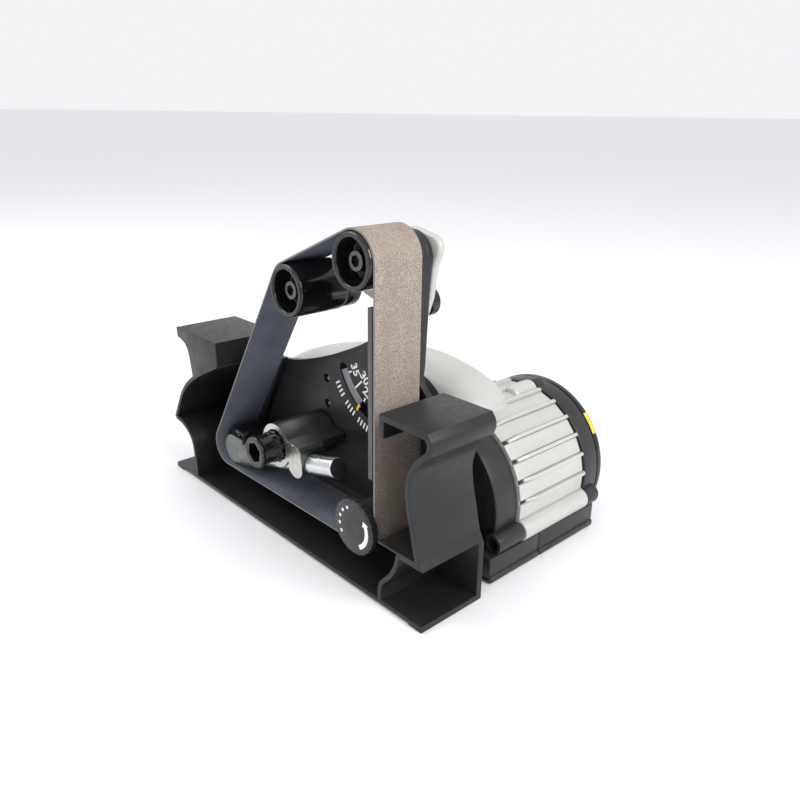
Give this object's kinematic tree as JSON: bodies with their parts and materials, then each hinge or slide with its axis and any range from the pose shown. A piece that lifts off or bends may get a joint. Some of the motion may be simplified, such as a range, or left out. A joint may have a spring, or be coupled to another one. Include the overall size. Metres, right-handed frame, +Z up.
{
  "type": "belt grinder",
  "caption": "Bench belt grinder: a narrow abrasive belt over rollers between two tool rests, driven by a finned motor unit with an arched handle.",
  "frame": {"origin": "middle of the footprint, on the surface the grinder stands on", "axes": "+X along the base to the right of the open front, +Y from the front of the rollers back to the motor end, +Z up"},
  "size_m": [0.2108, 0.1434, 0.1569],
  "materials": {
    "black_plastic": "fine moulded grain",
    "gloss_black": "polished moulding",
    "dark_metal": "black oxide",
    "steel": "ground",
    "zinc": "plated zinc casting",
    "silver_plastic": "satin silver-grey moulding",
    "abrasive": "fine abrasive grain on woven cloth",
    "graphite": "graphite black",
    "brass": "copper bars",
    "yellow": "yellow moulding",
    "rubber": "moulded rubber"
  },
  "bodies": {
    "grinder_body": {"guide_frame": "black_plastic", "cassette_plate": "black_plastic", "platen": "dark_metal", "platen_face": "graphite", "top_axle": "dark_metal", "left_axle": "dark_metal", "left_idler_spacer": "gloss_black", "idler_arm": "silver_plastic", "dial_backing": "silver_plastic", "tension_casting": "zinc", "tension_spring": "steel", "abrasive_belt": "abrasive", "front_collar": "black_plastic", "motor_housing": "silver_plastic", "rear_cap": "black_plastic", "rear_bezel": "gloss_black", "motor_foot": "black_plastic", "mount_nose": "zinc", "front_bearing": "steel", "rear_bearing": "steel", "motor_can": "dark_metal", "brush_left": "graphite", "brush_right": "graphite", "side_screw": "dark_metal", "top_screw": "dark_metal", "handle_top": "silver_plastic", "handle_grip": "black_plastic", "switch_block": "graphite", "cord_gland": "rubber", "plate_screw_1": "dark_metal", "plate_screw_2": "dark_metal", "plate_screw_3": "dark_metal", "plate_screw_4": "dark_metal", "casting_screw_1": "dark_metal", "casting_screw_2": "dark_metal"},
    "drive": {"motor_shaft": "steel", "drive_roller": "rubber", "armature": "steel", "commutator": "brass", "cooling_fan": "black_plastic"},
    "clamp_knob": {"hand_knob": "black_plastic"},
    "top_roller": {"top_idler": "gloss_black", "top_idler_bearing": "steel"},
    "left_roller": {"left_idler": "gloss_black", "left_idler_bearing": "steel"},
    "tension_slider": {"tension_rod": "steel", "tension_yoke": "zinc", "corner_axle": "steel", "corner_bushing": "steel"},
    "small_roller": {"corner_roller": "gloss_black"},
    "tension_key": {"hex_adjuster": "gloss_black"},
    "tracking": {"tracking_knob": "black_plastic"},
    "pointer": {"angle_pointer": "yellow"},
    "dial": {"speed_dial": "black_plastic"},
    "trigger": {"trigger": "yellow"}
  },
  "joints": [
    {"name": "drive_spin", "type": "hinge", "parent": "grinder_body", "child": "drive", "pos_m": [0.05495, -0.0467, 0.0274], "axis": [0, 1, 0], "continuous": true},
    {"name": "top_roller_spin", "type": "hinge", "parent": "grinder_body", "child": "top_roller", "pos_m": [0.05235, -0.0467, 0.1438], "axis": [0, 1, 0], "continuous": true},
    {"name": "left_roller_spin", "type": "hinge", "parent": "grinder_body", "child": "left_roller", "pos_m": [0.00705, -0.0467, 0.1243], "axis": [0, 1, 0], "continuous": true},
    {"name": "tension_slide", "type": "slide", "parent": "grinder_body", "child": "tension_slider", "axis": [0.969, 0, 0.247], "range_m": [0, 0.008], "stiffness_N_per_m": 150},
    {"name": "small_roller_spin", "type": "hinge", "parent": "tension_slider", "child": "small_roller", "pos_m": [-0.05875, -0.0467, 0.0266], "axis": [0, 1, 0], "continuous": true},
    {"name": "tension_key_turn", "type": "hinge", "parent": "grinder_body", "child": "tension_key", "pos_m": [-0.00985, -0.0667, 0.0436], "axis": [0, 1, 0], "range_deg": [-120, 120]},
    {"name": "clamp_knob_turn", "type": "hinge", "parent": "drive", "child": "clamp_knob", "pos_m": [0.05495, -0.0617, 0.0274], "axis": [0, 1, 0], "range_deg": [-360, 0]},
    {"name": "tracking_turn", "type": "hinge", "parent": "grinder_body", "child": "tracking", "pos_m": [0.05315, -0.0187, 0.122], "axis": [0, 1, 0], "range_deg": [-180, 180]},
    {"name": "angle_set", "type": "hinge", "parent": "grinder_body", "child": "pointer", "pos_m": [0.03965, -0.0257, 0.0959], "axis": [0, -1, 0], "range_deg": [-33, 45]},
    {"name": "speed_set", "type": "hinge", "parent": "grinder_body", "child": "dial", "pos_m": [0.05495, 0.0683, 0.0274], "axis": [0, 1, 0], "range_deg": [-135, 135]},
    {"name": "trigger_pull", "type": "hinge", "parent": "grinder_body", "child": "trigger", "pos_m": [0.01405, 0.0158, 0.054], "axis": [0, 1, 0], "range_deg": [0, 8], "stiffness_Nm_per_rad": 0.15}
  ],
  "couplings": [
    {"joint": "top_roller_spin", "follows": "drive_spin", "ratio": 0.7953},
    {"joint": "left_roller_spin", "follows": "drive_spin", "ratio": 0.7953},
    {"joint": "small_roller_spin", "follows": "drive_spin", "ratio": 1},
    {"joint": "tension_key_turn", "follows": "tension_slide", "rad_per_m": -232}
  ]
}
